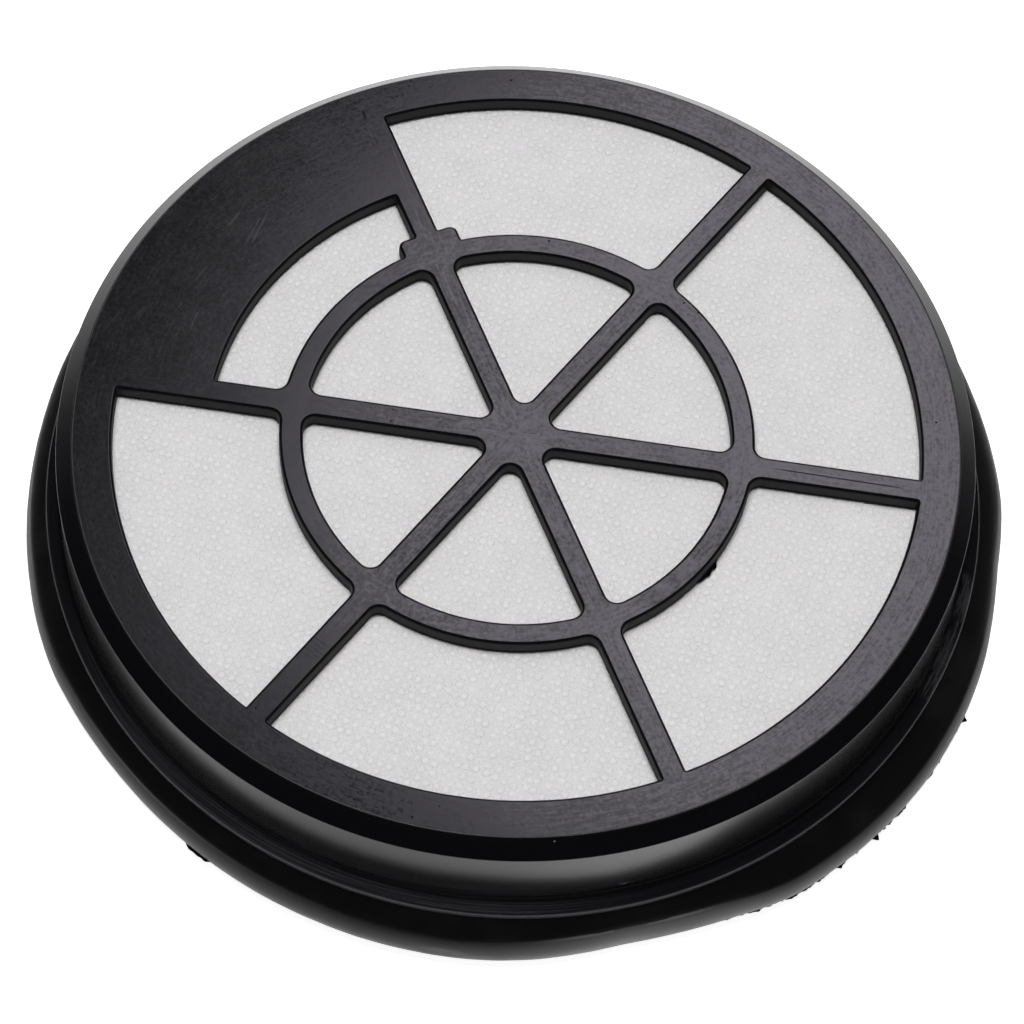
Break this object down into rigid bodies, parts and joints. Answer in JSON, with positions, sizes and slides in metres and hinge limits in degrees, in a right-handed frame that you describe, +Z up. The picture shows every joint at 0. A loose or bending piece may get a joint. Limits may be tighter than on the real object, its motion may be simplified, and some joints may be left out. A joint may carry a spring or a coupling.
{
  "type": "vacuum exhaust filter",
  "caption": "Round vacuum exhaust filter: black moulded frame with a spoked grille over white fleece, pleated media inside and a soft rubber seal bead round its foot.",
  "frame": {"origin": "centre of the foot, on the surface that the filter stands on", "axes": "+Z up the filter's axis to the grille, +X along a spoke, with the closed panel in the sector between 120 and 180 degrees from +X"},
  "size_m": [0.1584, 0.1584, 0.0295],
  "materials": {
    "frame_plastic": "satin black moulded plastic with fine scuffs",
    "fleece": "white point-bonded nonwoven",
    "filter_paper": "matt off-white filter paper",
    "hot_melt": "cloudy cream hot-melt",
    "seal_rubber": "smooth satin black rubber"
  },
  "bodies": {
    "root": {"grille_frame": "frame_plastic", "cover_fleece": "fleece", "pleated_media": "filter_paper", "potting_ring": "hot_melt", "seal_ring": "seal_rubber"}
  },
  "joints": []
}
